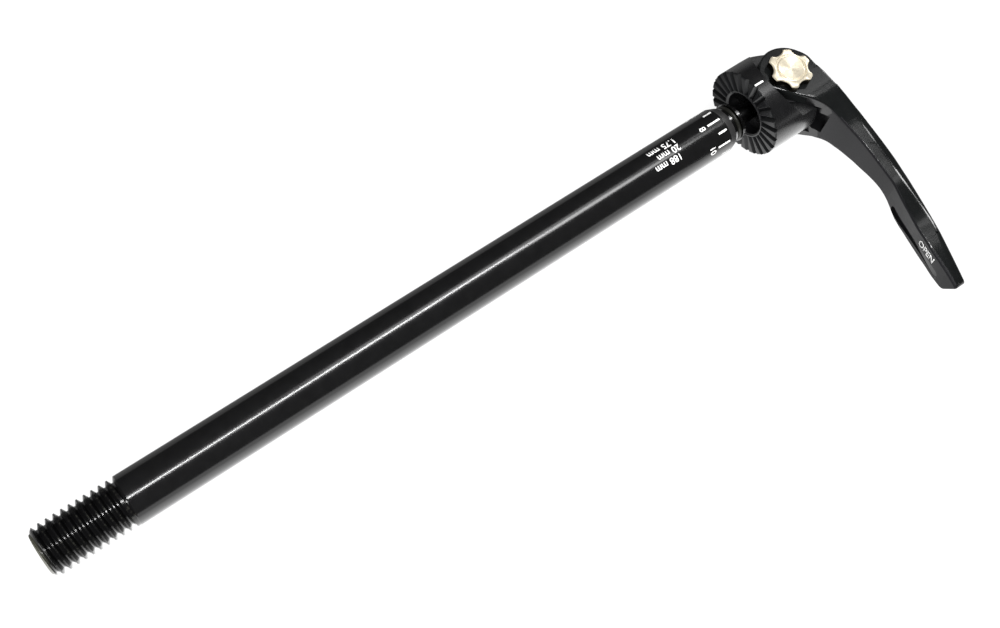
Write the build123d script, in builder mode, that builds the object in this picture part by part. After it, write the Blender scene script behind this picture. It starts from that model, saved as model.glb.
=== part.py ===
# Bicycle thru axle, 12 mm, with a cam lever that clamps a serrated head.
# X runs along the axle from the thread to the head, the lever's pivot is parallel to Z,
# and the origin lies on the axle's axis in the plane of the clamp face.

import os
from math import atan2, cos, degrees, radians, sin

from build123d import *

os.makedirs("parts", exist_ok=True)

# Shaft
shaft_length = 188.0
shaft_diameter = 12.0
thread_length = 20.0
thread_pitch = 1.75
thread_diameter = 11.8
thread_depth = 1.05
thread_crest = 0.3
thread_root = 0.35
tip_chamfer = 1.2
head_chamfer_length = 2.2
head_chamfer_depth = 0.8
centre_drill_diameter = 3.0
centre_drill_depth = 2.0
light_bore_diameter = 6.0
tip_solid_length = 26.0

# Plug in the shaft's head end
head_gap = 7.0
plug_thread_diameter = 8.2
plug_thread_length = 10.0
plug_flange_diameter = 9.2
plug_flange_length = 1.3
plug_groove_diameter = 7.6
plug_groove_width = 1.1
plug_nose_diameter = 10.1
plug_nose_length = 1.1
plug_chamfer = 0.3
ring_section_diameter = 1.0

# Draw rod and its spring stack
rod_diameter = 4.5
rod_turning_gap = 0.06
thrust_washer_thickness = 0.8
spring_count = 4
spring_thickness = 0.45
spring_cone_height = 0.35
nut_across_flats = 6.4
rod_nut_length = 4.0
rod_end_length = 1.5
stack_outer_diameter = 7.4
stack_bore_gap = 0.1
face_gap = 0.03

# Cam
cam_throw = 0.85
cam_diameter = 5.8
cam_play = 0.25
cam_length = 5.4
journal_gap = 0.03
journal_step = 0.15
bush_wall = 1.0
eye_wall = 1.7
eye_thickness = 5.0
eye_side_gap = 0.25

# Head housing
head_diameter = 23.2
pivot_distance = 12.0
tongue_thickness = 10.6
tongue_taper = 2.6
tongue_chamfer = 0.6
side_overrun = 2.0
shoulder_distance = 7.9
shoulder_radius = 13.0
bore_depth = 3.4
liner_wall = 0.6
liner_bore_diameter = 11.6
liner_lip = 0.35
serration_count = 24
serration_width = 1.05
rod_room = 0.35

# Lever
lever_length = 67.0
cheek_radius = 7.6
cheek_thickness = 3.0
cheek_washer_diameter = 13.0
cheek_washer_thickness = 0.3
cheek_washer_gap = 0.3
cheek_gap = 0.04
cheek_run = 7.0
cheek_front_angle = 155.0
cheek_front_reach = 3.9
cheek_front_drop = 4.0
crotch_gap = 0.7
web_start = 8.2
notch_end = 14.0
notch_floor = 6.0
notch_height = 7.2
neck_distance = 15.5
neck_outer = 10.7
neck_thickness = 6.1
neck_height = 11.2
arm_share = 0.388
arm_outer = 11.0
arm_thickness = 5.4
arm_height = 7.9
waist_share = 0.53
waist_outer = 10.05
waist_thickness = 4.85
waist_height = 6.1
grip_share = 0.671
grip_outer = 7.0
grip_thickness = 4.0
grip_height = 8.8
tip_outer = 1.75
tip_thickness = 3.3
tip_height = 6.0
tip_slant = 24.0
tip_corner = 1.0
tip_heel = 2.2
tip_lean = 0.22
lever_edge = 0.5
pocket_start_share = 0.604
pocket_end_share = 0.91
pocket_height = 2.4
pocket_start_drop = 2.3
pocket_end_drop = 1.7
pocket_depth = 0.8

# Pin head, star nut and washer
pin_head_diameter = 10.4
pin_head_flats = 8.4
pin_head_thickness = 2.0
pin_head_recess = 1.2
pin_head_chamfer = 0.5
pin_top_chamfer = 0.3
pin_fit = 0.02
star_diameter = 11.24
star_valley_diameter = 8.9
star_scallop_radius = 2.6
star_lobes = 6
star_thickness = 2.15
star_turn = 30.0
star_lobe_radius = 0.6
star_chamfer = 0.3
star_rim_diameter = 7.9
star_rim_width = 0.7
star_rim_depth = 0.4
nut_washer_diameter = 8.4
nut_washer_thickness = 0.3
thread_grip = 1.3

# Places that follow from the sizes
shaft_radius = shaft_diameter / 2
shaft_end = -head_gap
tip_end = shaft_end - shaft_length
plug_inner_end = shaft_end - plug_thread_length
rod_radius = rod_diameter / 2
spring_step = spring_thickness + spring_cone_height + face_gap
washer_front = plug_inner_end - face_gap
stack_front = washer_front - thrust_washer_thickness - face_gap
stack_rear = stack_front - spring_count * spring_step
rod_inner_end = stack_rear - rod_nut_length - rod_end_length
plug_bore_end = rod_inner_end - rod_end_length
cam_radius = cam_diameter / 2
lower_journal_radius = cam_radius + cam_throw + journal_step
upper_journal_radius = cam_radius - cam_throw - journal_step
head_radius = head_diameter / 2
tongue_half = tongue_thickness / 2
tongue_radius = head_radius - tongue_taper
cheek_inner = tongue_half + cheek_washer_thickness + cheek_gap
cheek_outer = cheek_inner + cheek_thickness
crotch_radius = head_radius + crotch_gap
arm_distance = arm_share * lever_length
waist_distance = waist_share * lever_length
grip_distance = grip_share * lever_length
tip_distance = lever_length
pocket_start = pocket_start_share * lever_length
pocket_end = pocket_end_share * lever_length
liner_radius = liner_bore_diameter / 2 + liner_wall
eye_half_width = cam_radius + cam_play + eye_wall
eye_half_length = cam_radius + cam_throw + cam_play + eye_wall
eye_centre = pivot_distance + cam_throw
cavity_half_height = eye_thickness / 2 + eye_side_gap
cavity_half_width = eye_half_length + eye_side_gap
cavity_half_length = eye_half_width + rod_room
nut_seat = cheek_outer + nut_washer_thickness
star_top = nut_seat + star_thickness
pin_top = nut_seat + thread_grip


def across_axle(x):
    return Plane(origin=(x, 0, 0), x_dir=(0, 1, 0), z_dir=(1, 0, 0))


def across_pivot(z):
    return Plane(origin=(pivot_distance, 0, z), x_dir=(1, 0, 0), z_dir=(0, 0, 1))


def write(builder, label):
    builder.part.label = label
    export_step(builder.part, f"parts/{label}.step")


# The shaft is turned: a plain shank, a threaded tip and a blind bore for the rod
thread_radius = thread_diameter / 2
thread_end = tip_end + thread_length
groove_count = int((thread_length - tip_chamfer) / thread_pitch)
groove_places = [(thread_end - thread_pitch * (turn + 0.5), thread_radius) for turn in range(groove_count)]
groove_half = (thread_pitch - thread_crest) / 2

with BuildPart() as axle_shaft:
    with BuildSketch(Plane.XZ):
        with BuildLine():
            Polyline(
                (tip_end, 0),
                (tip_end, thread_radius - tip_chamfer),
                (tip_end + tip_chamfer, thread_radius),
                (thread_end, thread_radius),
                (thread_end + shaft_radius - thread_radius, shaft_radius),
                (shaft_end - head_chamfer_length, shaft_radius),
                (shaft_end, shaft_radius - head_chamfer_depth),
                (shaft_end, 0),
                close=True,
            )
        make_face()
    revolve(axis=Axis.X)
    with BuildSketch(Plane.XZ):
        with Locations(*groove_places):
            Polygon(
                (-groove_half, 0.01),
                (-thread_root / 2, -thread_depth),
                (thread_root / 2, -thread_depth),
                (groove_half, 0.01),
                align=None,
            )
    revolve(axis=Axis.X, mode=Mode.SUBTRACT)
    with BuildSketch(Plane.XZ):
        with BuildLine():
            Polyline(
                (tip_end, 0),
                (tip_end, centre_drill_diameter / 2),
                (tip_end + centre_drill_depth, 0),
                close=True,
            )
        make_face()
    revolve(axis=Axis.X, mode=Mode.SUBTRACT)
    with BuildSketch(across_axle(shaft_end)):
        Circle(plug_thread_diameter / 2)
    extrude(amount=plug_bore_end - shaft_end, mode=Mode.SUBTRACT)
    with BuildSketch(across_axle(shaft_end)):
        Circle(light_bore_diameter / 2)
    extrude(amount=tip_end + tip_solid_length - shaft_end, mode=Mode.SUBTRACT)
write(axle_shaft, "axle_shaft")

# The plug screws into the shaft and carries the turning rod
flange_end = shaft_end + plug_flange_length
groove_end = flange_end + plug_groove_width
nose_end = groove_end + plug_nose_length
plug_bore_radius = rod_radius + rod_turning_gap

with BuildPart() as end_plug:
    with BuildSketch(Plane.XZ):
        with BuildLine():
            Polyline(
                (plug_inner_end, plug_bore_radius),
                (plug_inner_end, plug_thread_diameter / 2),
                (shaft_end, plug_thread_diameter / 2),
                (shaft_end, plug_flange_diameter / 2),
                (flange_end - plug_chamfer, plug_flange_diameter / 2),
                (flange_end, plug_flange_diameter / 2 - plug_chamfer),
                (flange_end, plug_groove_diameter / 2),
                (groove_end, plug_groove_diameter / 2),
                (groove_end, plug_nose_diameter / 2),
                (nose_end - plug_chamfer, plug_nose_diameter / 2),
                (nose_end, plug_nose_diameter / 2 - plug_chamfer),
                (nose_end, plug_bore_radius),
                close=True,
            )
        make_face()
    revolve(axis=Axis.X)
write(end_plug, "end_plug")

# The sealing ring sits in the plug's groove
with BuildPart() as plug_ring:
    with BuildSketch(Plane.XZ):
        with Locations(((flange_end + groove_end) / 2, (plug_groove_diameter + ring_section_diameter) / 2)):
            Circle(ring_section_diameter / 2)
    revolve(axis=Axis.X)
write(plug_ring, "plug_ring")

# The draw rod: a round shank with an oblong eye around the cam
with BuildPart() as draw_rod:
    with BuildSketch(across_axle(rod_inner_end)):
        Circle(rod_radius)
    extrude(amount=eye_centre - eye_half_width + eye_wall / 2 - rod_inner_end)
    chamfer(draw_rod.faces().sort_by(Axis.X)[0].edges(), length=plug_chamfer)
    with BuildSketch(Plane.XY.offset(-eye_thickness / 2)):
        with Locations((eye_centre, 0)):
            SlotOverall(2 * eye_half_length, 2 * eye_half_width, rotation=90)
    extrude(amount=eye_thickness)
    with BuildSketch(Plane.XY.offset(-eye_thickness / 2)):
        with Locations((eye_centre, 0)):
            SlotOverall(2 * (eye_half_length - eye_wall), 2 * (eye_half_width - eye_wall), rotation=90)
    extrude(amount=eye_thickness, mode=Mode.SUBTRACT)
write(draw_rod, "draw_rod")

# The thrust washer, the disc springs and the nut keep the rod under tension
stack_bore_radius = rod_radius + stack_bore_gap
stack_radius = stack_outer_diameter / 2

with BuildPart() as thrust_washer:
    with BuildSketch(across_axle(washer_front)):
        Circle(stack_radius)
        Circle(stack_bore_radius, mode=Mode.SUBTRACT)
    extrude(amount=-thrust_washer_thickness)
write(thrust_washer, "thrust_washer")

for number in range(spring_count):
    front = stack_front - number * spring_step
    inner_lag = spring_cone_height if number % 2 else 0
    outer_lag = spring_cone_height - inner_lag
    with BuildPart() as disc_spring:
        with BuildSketch(Plane.XZ):
            with BuildLine():
                Polyline(
                    (front - inner_lag, stack_bore_radius),
                    (front - outer_lag, stack_radius),
                    (front - outer_lag - spring_thickness, stack_radius),
                    (front - inner_lag - spring_thickness, stack_bore_radius),
                    close=True,
                )
            make_face()
        revolve(axis=Axis.X)
    write(disc_spring, f"disc_spring_{number + 1}")

with BuildPart() as rod_nut:
    with BuildSketch(across_axle(stack_rear)):
        RegularPolygon(nut_across_flats / 2, 6, major_radius=False)
        Circle(rod_radius, mode=Mode.SUBTRACT)
    extrude(amount=-rod_nut_length)
write(rod_nut, "rod_nut")

# The head: a round bar that tapers to a flat tongue, rounded about the pivot, for the lever's fork
lower_bush_radius = lower_journal_radius + journal_gap + bush_wall
upper_bush_radius = upper_journal_radius + journal_gap + bush_wall
shoulder_centre = pivot_distance - shoulder_distance + shoulder_radius
serration_reach = head_radius - liner_radius

with BuildPart() as head_housing:
    with BuildSketch(across_axle(0)):
        Circle(head_radius)
    extrude(amount=pivot_distance + head_radius)
    with BuildSketch(Plane.XY.offset(-head_radius)):
        with BuildLine():
            Polyline(
                (pivot_distance, tongue_radius),
                (pivot_distance, 0),
                (pivot_distance + side_overrun, 0),
                (pivot_distance + side_overrun, -head_radius),
                (0, -head_radius),
                (0, head_radius),
            )
            TangentArc((0, head_radius), (pivot_distance, tongue_radius), tangent=(1, 0))
        make_face()
        with Locations((pivot_distance, 0)):
            Circle(tongue_radius)
    extrude(amount=head_diameter, mode=Mode.INTERSECT)
    for side in (1, -1):
        with BuildSketch(Plane.XY.offset(side * tongue_half)):
            with Locations((shoulder_centre, 0)):
                Circle(shoulder_radius)
        extrude(amount=side * head_radius, mode=Mode.SUBTRACT)
    rear_edges = head_housing.edges().filter_by(
        lambda edge: abs(abs(edge.center().Z) - tongue_half) < 0.01 and edge.center().X > pivot_distance
    )
    chamfer(rear_edges, length=tongue_chamfer)
    with BuildSketch(across_axle(0)):
        Circle(liner_radius)
    extrude(amount=bore_depth, mode=Mode.SUBTRACT)
    with Locations(across_axle(0)):
        with PolarLocations(liner_radius + serration_reach / 2, serration_count):
            Box(
                2 * serration_reach,
                serration_width,
                serration_width,
                rotation=(45, 0, 0),
                mode=Mode.SUBTRACT,
            )
    with BuildSketch(Plane.XY.offset(-cavity_half_height)):
        with Locations((eye_centre / 2, 0)):
            Rectangle(eye_centre, 2 * cavity_half_width)
        with Locations((eye_centre, 0)):
            SlotOverall(2 * cavity_half_width, 2 * cavity_half_length, rotation=90)
    extrude(amount=2 * cavity_half_height, mode=Mode.SUBTRACT)
    with BuildSketch(across_pivot(-tongue_half)):
        Circle(lower_bush_radius)
    extrude(amount=tongue_half, mode=Mode.SUBTRACT)
    with BuildSketch(across_pivot(tongue_half)):
        Circle(upper_bush_radius)
    extrude(amount=-tongue_half, mode=Mode.SUBTRACT)
write(head_housing, "head_housing")

# The grey liner of the bore, with a bevelled lip at its mouth
with BuildPart() as bore_liner:
    with BuildSketch(across_axle(0)):
        Circle(liner_radius)
        Circle(liner_bore_diameter / 2, mode=Mode.SUBTRACT)
    extrude(amount=bore_depth)
    chamfer(bore_liner.faces().sort_by(Axis.X)[0].edges().sort_by(SortBy.RADIUS)[0], length=liner_lip)
write(bore_liner, "bore_liner")

# Plain bearings of the pin, pressed into the tongue from both sides
bush_length = tongue_half - cavity_half_height

with BuildPart() as lower_cam_bush:
    with BuildSketch(across_pivot(-tongue_half)):
        Circle(lower_bush_radius)
        Circle(lower_journal_radius + journal_gap, mode=Mode.SUBTRACT)
    extrude(amount=bush_length)
write(lower_cam_bush, "lower_cam_bush")

with BuildPart() as upper_cam_bush:
    with BuildSketch(across_pivot(tongue_half)):
        Circle(upper_bush_radius)
        Circle(upper_journal_radius + journal_gap, mode=Mode.SUBTRACT)
    extrude(amount=-bush_length)
write(upper_cam_bush, "upper_cam_bush")

# Thin washers on the tongue's flats, below the fork's cheeks
with BuildPart() as lower_cheek_washer:
    with BuildSketch(across_pivot(-tongue_half)):
        Circle(cheek_washer_diameter / 2)
        Circle(lower_journal_radius + cheek_washer_gap, mode=Mode.SUBTRACT)
    extrude(amount=-cheek_washer_thickness)
write(lower_cheek_washer, "lower_cheek_washer")

with BuildPart() as upper_cheek_washer:
    with BuildSketch(across_pivot(tongue_half)):
        Circle(cheek_washer_diameter / 2)
        Circle(upper_journal_radius + cheek_washer_gap, mode=Mode.SUBTRACT)
    extrude(amount=cheek_washer_thickness)
write(upper_cheek_washer, "upper_cheek_washer")

# The stepped pin goes in from below: head, lower journal, cam, upper journal, thread
with BuildPart() as cam_pin:
    with BuildSketch(across_pivot(pin_head_recess - cheek_outer)):
        Circle(pin_head_diameter / 2)
        Rectangle(pin_head_diameter, pin_head_flats, mode=Mode.INTERSECT)
    extrude(amount=-pin_head_thickness)
    chamfer(cam_pin.faces().sort_by(Axis.Z)[0].edges(), length=pin_head_chamfer)
    with BuildSketch(across_pivot(pin_head_recess - cheek_outer)):
        Circle(lower_journal_radius)
    extrude(amount=cheek_outer - pin_head_recess - cam_length / 2)
    with BuildSketch(across_pivot(-cam_length / 2)):
        with Locations((cam_throw, 0)):
            Circle(cam_radius)
    extrude(amount=cam_length)
    with BuildSketch(across_pivot(cam_length / 2)):
        Circle(upper_journal_radius)
    extrude(amount=pin_top - cam_length / 2)
    chamfer(cam_pin.faces().sort_by(Axis.Z)[-1].edges(), length=pin_top_chamfer)
write(cam_pin, "cam_pin")


# The lever's outline in plan, from the cheek around the pivot to the tip
def blade_point(outer, distance, thickness=0.0):
    return (outer - thickness, -distance)


front_direction = (sin(radians(cheek_front_angle)), -cos(radians(cheek_front_angle)))
cheek_front = (-cheek_radius * front_direction[1], cheek_radius * front_direction[0])

# The shallow pocket for a finger follows the lever's inner face
pocket_length = pocket_end - pocket_start
pocket_middle = (pocket_start + pocket_end) / 2
pocket_drop = (pocket_start_drop + pocket_end_drop) / 2
pocket_slope = degrees(atan2(pocket_end_drop - pocket_start_drop, pocket_length))

with BuildPart() as finger_pocket:
    with BuildSketch(across_pivot(-cheek_outer)):
        with BuildLine():
            Polyline(
                blade_point(arm_outer, arm_distance, arm_thickness - pocket_depth),
                (-cheek_radius, -arm_distance),
                (-cheek_radius, -tip_distance),
                blade_point(tip_outer, tip_distance, tip_thickness - pocket_depth),
            )
            Spline(
                blade_point(tip_outer, tip_distance, tip_thickness - pocket_depth),
                blade_point(grip_outer, grip_distance, grip_thickness - pocket_depth),
                blade_point(waist_outer, waist_distance, waist_thickness - pocket_depth),
                blade_point(arm_outer, arm_distance, arm_thickness - pocket_depth),
            )
        make_face()
    extrude(amount=2 * cheek_outer)
    with BuildSketch(Plane.YZ):
        with Locations((-pocket_middle, -pocket_drop)):
            SlotOverall(pocket_length, pocket_height, rotation=pocket_slope)
    extrude(amount=pivot_distance + 2 * neck_outer, both=True, mode=Mode.INTERSECT)

# The lever: plan and side view cross to the blade, then the fork's gap clears the tongue as it swings,
# and a narrow notch runs on into the web behind the gap
with BuildPart() as lever:
    with BuildSketch(across_pivot(-cheek_outer)):
        with BuildLine():
            CenterArc((0, 0), cheek_radius, 0, cheek_front_angle)
            Spline(
                (cheek_radius, 0),
                blade_point(neck_outer, neck_distance),
                blade_point(arm_outer, arm_distance),
                blade_point(waist_outer, waist_distance),
                blade_point(grip_outer, grip_distance),
                blade_point(tip_outer, tip_distance),
                tangents=((0, -1), (-tip_lean, -1)),
            )
            Line(
                blade_point(tip_outer, tip_distance),
                blade_point(tip_outer, tip_distance, tip_thickness),
            )
            Spline(
                blade_point(tip_outer, tip_distance, tip_thickness),
                blade_point(grip_outer, grip_distance, grip_thickness),
                blade_point(waist_outer, waist_distance, waist_thickness),
                blade_point(arm_outer, arm_distance, arm_thickness),
                blade_point(neck_outer, neck_distance, neck_thickness),
                blade_point(-cheek_front_reach, cheek_front_drop),
                cheek_front,
                tangents=((tip_lean, 1), front_direction),
            )
        make_face()
    extrude(amount=2 * cheek_outer)
    with BuildSketch(Plane.YZ) as side_view:
        with BuildLine():
            Line((2 * cheek_radius, 0), (2 * cheek_radius, cheek_outer))
            Line((2 * cheek_radius, cheek_outer), (-cheek_run, cheek_outer))
            Spline(
                (-cheek_run, cheek_outer),
                (-neck_distance, neck_height / 2),
                (-arm_distance, arm_height / 2),
                (-waist_distance, waist_height / 2),
                (-grip_distance, grip_height / 2),
                (-tip_distance, tip_height / 2),
                tangents=((-1, 0), (-1, -tip_lean)),
            )
            Line((-tip_distance, tip_height / 2), (-tip_distance, 0))
            mirror(about=Plane.XZ)
        make_face()
        with Locations((-tip_distance, tip_height / 2)):
            Rectangle(
                tip_height,
                3 * tip_height,
                rotation=tip_slant,
                align=(Align.MAX, Align.CENTER),
                mode=Mode.SUBTRACT,
            )
        fillet(side_view.vertices().sort_by(Axis.X)[1], radius=tip_heel)
        fillet(side_view.vertices().sort_by(Axis.X)[0], radius=tip_corner)
    extrude(amount=pivot_distance + 2 * neck_outer, both=True, mode=Mode.INTERSECT)
    fillet(lever.edges().filter_by(GeomType.LINE, reverse=True), radius=lever_edge)
    with BuildSketch(across_pivot(-cheek_inner)):
        Circle(tongue_radius + crotch_gap)
        with Locations((side_overrun + crotch_gap, -crotch_radius)):
            Rectangle(4 * cheek_radius, 4 * cheek_radius, align=(Align.MAX, Align.MIN))
        with Locations((0, -web_start)):
            Rectangle(4 * cheek_radius, 4 * cheek_radius, align=(Align.CENTER, Align.MIN))
    extrude(amount=2 * cheek_inner, mode=Mode.SUBTRACT)
    with BuildSketch(across_pivot(-notch_height / 2)):
        with Locations((notch_floor, -notch_end)):
            Rectangle(4 * cheek_radius, 4 * cheek_radius, align=(Align.MAX, Align.MIN))
    extrude(amount=notch_height, mode=Mode.SUBTRACT)
    add(finger_pocket.part, mode=Mode.SUBTRACT)
    with BuildSketch(across_pivot(0)):
        Circle(upper_journal_radius + pin_fit)
    extrude(amount=cheek_outer, mode=Mode.SUBTRACT)
    with BuildSketch(across_pivot(0)):
        Circle(lower_journal_radius + pin_fit)
    extrude(amount=-cheek_outer, mode=Mode.SUBTRACT)
    with BuildSketch(across_pivot(-cheek_outer)):
        Circle(pin_head_diameter / 2 + pin_fit)
        Rectangle(2 * pin_head_diameter, pin_head_flats + 2 * pin_fit, mode=Mode.INTERSECT)
    extrude(amount=pin_head_recess, mode=Mode.SUBTRACT)
write(lever, "lever")

# The lock washer and the star nut with its dished cap
with BuildPart() as nut_washer:
    with BuildSketch(across_pivot(cheek_outer)):
        Circle(nut_washer_diameter / 2)
        Circle(upper_journal_radius + pin_fit, mode=Mode.SUBTRACT)
    extrude(amount=nut_washer_thickness)
write(nut_washer, "nut_washer")

with BuildPart() as star_nut:
    with BuildSketch(across_pivot(nut_seat)) as star_outline:
        Circle(star_diameter / 2)
        with PolarLocations(star_valley_diameter / 2 + star_scallop_radius, star_lobes, start_angle=star_turn):
            Circle(star_scallop_radius, mode=Mode.SUBTRACT)
        fillet(star_outline.vertices(), radius=star_lobe_radius)
    extrude(amount=star_thickness)
    chamfer(star_nut.faces().sort_by(Axis.Z)[-1].edges(), length=star_chamfer)
    with BuildSketch(across_pivot(star_top)):
        Circle(star_rim_diameter / 2)
        Circle(star_rim_diameter / 2 - star_rim_width, mode=Mode.SUBTRACT)
    extrude(amount=-star_rim_depth, mode=Mode.SUBTRACT)
    with BuildSketch(across_pivot(nut_seat)):
        Circle(upper_journal_radius)
    extrude(amount=pin_top - nut_seat, mode=Mode.SUBTRACT)
write(star_nut, "star_nut")
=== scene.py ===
from math import atan2, cos, degrees, hypot, pi, radians, sin, sqrt, tan

import bmesh
import bpy
from mathutils import Matrix, Vector


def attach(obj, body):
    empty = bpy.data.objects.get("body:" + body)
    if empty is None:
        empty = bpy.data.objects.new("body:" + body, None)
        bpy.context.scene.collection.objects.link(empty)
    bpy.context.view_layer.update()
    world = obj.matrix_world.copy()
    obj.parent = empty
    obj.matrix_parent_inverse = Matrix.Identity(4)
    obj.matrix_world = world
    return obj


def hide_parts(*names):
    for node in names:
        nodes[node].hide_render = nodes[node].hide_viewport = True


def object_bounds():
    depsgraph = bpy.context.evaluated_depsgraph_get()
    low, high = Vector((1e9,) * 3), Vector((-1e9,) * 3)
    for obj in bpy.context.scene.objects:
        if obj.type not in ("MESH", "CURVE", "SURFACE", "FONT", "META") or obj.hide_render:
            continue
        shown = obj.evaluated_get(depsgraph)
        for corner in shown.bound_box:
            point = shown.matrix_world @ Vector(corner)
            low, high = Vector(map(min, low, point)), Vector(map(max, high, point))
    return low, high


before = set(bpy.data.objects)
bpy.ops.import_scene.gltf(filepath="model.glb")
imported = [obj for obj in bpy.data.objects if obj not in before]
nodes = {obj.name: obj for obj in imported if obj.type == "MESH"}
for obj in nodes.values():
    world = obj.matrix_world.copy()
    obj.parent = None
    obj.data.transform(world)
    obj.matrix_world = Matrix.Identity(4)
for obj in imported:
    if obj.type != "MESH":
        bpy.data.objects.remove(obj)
cadLow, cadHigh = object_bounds()
mm = 0.001
pivot = Vector((12 * mm, 0, 0))
print("frame loaded:", len(nodes), "solids")


# working helpers

def startClean():
    if bpy.context.object and bpy.context.object.mode != "OBJECT":
        bpy.ops.object.mode_set(mode="OBJECT")
    bpy.ops.object.select_all(action="DESELECT")


def workOn(piece, edit=False):
    startClean()
    piece.select_set(True)
    bpy.context.view_layer.objects.active = piece
    if edit:
        bpy.ops.object.mode_set(mode="EDIT")


def pick(piece, kind, test):  # selects what passes the test, in edit mode
    bpy.ops.mesh.select_mode(type=kind)
    bpy.ops.mesh.select_all(action="DESELECT")
    grid = bmesh.from_edit_mesh(piece.data)
    found = 0
    for part in {"VERT": grid.verts, "EDGE": grid.edges, "FACE": grid.faces}[kind]:
        if test(part):
            part.select_set(True)
            found += 1
    grid.select_flush_mode()
    bmesh.update_edit_mesh(piece.data)
    return found


def copyOfNode(node, name):  # a merged copy of a CAD solid, free to be shaped, left in edit mode
    piece = bpy.data.objects.new(name, nodes[node].data.copy())
    bpy.context.scene.collection.objects.link(piece)
    piece.data.materials.clear()
    workOn(piece, edit=True)
    bpy.ops.mesh.customdata_custom_splitnormals_clear()
    bpy.ops.mesh.select_all(action="SELECT")
    bpy.ops.mesh.remove_doubles(threshold=0.002 * mm)
    return piece


def applyModifier(piece, kind, settings):
    workOn(piece)
    modifier = piece.modifiers.new(kind.lower(), kind)
    for key, value in settings.items():
        setattr(modifier, key, value)
    bpy.ops.object.modifier_apply(modifier=modifier.name)


def smooth(piece, angle=35, weighted=False):  # weighted keeps large faces flat beside small bevels
    workOn(piece)
    bpy.ops.object.shade_smooth_by_angle(angle=radians(angle), keep_sharp_edges=True)
    if weighted:
        applyModifier(piece, "WEIGHTED_NORMAL", {"keep_sharp": True, "weight": 50})


def give(piece, *finishes):
    piece.data.materials.clear()
    for finish in finishes:
        piece.data.materials.append(finish)


def held(value):  # kept from 0 to 1
    return min(1, max(0, value))


def between(value, table):  # straight-line reading of (place, value) pairs that fall along the lever
    if value >= table[0][0]:
        return table[0][1]
    for (highY, highV), (lowY, lowV) in zip(table, table[1:]):
        if value >= lowY:
            return highV + (lowV - highV) * (highY - value) / (highY - lowY)
    return table[-1][1]


# finishes

class Wire:  # one socket of a finish, used in sums like a number
    def __init__(self, tree, socket=None):
        self.tree = tree
        self.socket = socket

    def node(self, kind, settings, sockets, out=0):
        made = self.tree.nodes.new(kind)
        for key, value in settings.items():
            setattr(made, key, value)
        for key, value in sockets.items():
            if isinstance(value, Wire):
                self.tree.links.new(value.socket, made.inputs[key])
            else:
                made.inputs[key].default_value = value
        return Wire(self.tree, made.outputs[out] if len(made.outputs) else None)

    def maths(self, operation, first, second=0.0):
        return self.node("ShaderNodeMath", {"operation": operation}, {0: first, 1: second})

    def __add__(self, other):
        return self.maths("ADD", self, other)

    def __radd__(self, other):
        return self.maths("ADD", other, self)

    def __sub__(self, other):
        return self.maths("SUBTRACT", self, other)

    def __rsub__(self, other):
        return self.maths("SUBTRACT", other, self)

    def __mul__(self, other):
        return self.maths("MULTIPLY", self, other)

    def __rmul__(self, other):
        return self.maths("MULTIPLY", other, self)

    def __truediv__(self, other):
        return self.maths("DIVIDE", self, other)

    def __rtruediv__(self, other):
        return self.maths("DIVIDE", other, self)

    def __pow__(self, other):
        return self.maths("POWER", self, other)

    def sine(self):
        return self.maths("SINE", self)

    def ramp(self, low, high):  # 0 at low, 1 at high
        return self.node("ShaderNodeMapRange", {"interpolation_type": "SMOOTHSTEP"},
                         {"Value": self, "From Min": low, "From Max": high})

    def along(self, axis):
        return self.node("ShaderNodeSeparateXYZ", {}, {0: self}, axis)

    def noise(self, size, detail=3.0, stretch=(1, 1, 1)):  # size of one blotch, metres
        place = self.node("ShaderNodeMapping", {}, {"Vector": self, "Scale": stretch})
        return place.node("ShaderNodeTexNoise", {}, {"Vector": place, "Scale": 1 / size, "Detail": detail})

    def blend(self, low, high):  # two colours mixed by this value
        return self.node("ShaderNodeMix", {"data_type": "RGBA"}, {0: self, 6: low, 7: high}, 2)

    def bump(self, height, strength=0.5):
        return self.node("ShaderNodeBump", {}, {"Height": self, "Distance": height, "Strength": strength}, "Normal")


def newFinish(name):
    finish = bpy.data.materials.new(name)
    finish.use_nodes = True
    finish.node_tree.nodes.clear()
    return finish, Wire(finish.node_tree).node("ShaderNodeTexCoord", {}, {}, "Object")


def closeFinish(finish, place, sockets):
    shader = place.node("ShaderNodeBsdfPrincipled", {}, sockets)
    place.node("ShaderNodeOutputMaterial", {}, {"Surface": shader})
    return finish


def fromAxis(place):  # distance from the axle's axis
    flat = place.along("Y") ** 2 + place.along("Z") ** 2
    return flat ** 0.5


def fromPivot(place):  # distance from the pivot's axis
    flat = (place.along("X") - pivot.x) ** 2 + place.along("Y") ** 2
    return flat ** 0.5


def shaftFinish():
    look = {"dark": (0.0042, 0.0042, 0.0044, 1), "pale": (0.0078, 0.0078, 0.0080, 1), "rough": 0.165, "ior": 1.62}
    finish, place = newFinish("shaft_anodised_black")
    blotch = place.noise(2.2 * mm)
    lines = place.noise(0.14 * mm, 2.0, (1, 0.02, 0.02))  # fine marks of turning
    pits = place.noise(0.09 * mm, 2.0)
    rough = look["rough"] + 0.05 * (blotch - 0.5) + 0.04 * (lines - 0.5)
    relief = (lines * 0.7 + pits * 0.5).bump(0.003 * mm, 0.3)
    return closeFinish(finish, place, {"Base Color": blotch.blend(look["dark"], look["pale"]), "Roughness": rough,
                                       "IOR": look["ior"], "Normal": relief})


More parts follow.
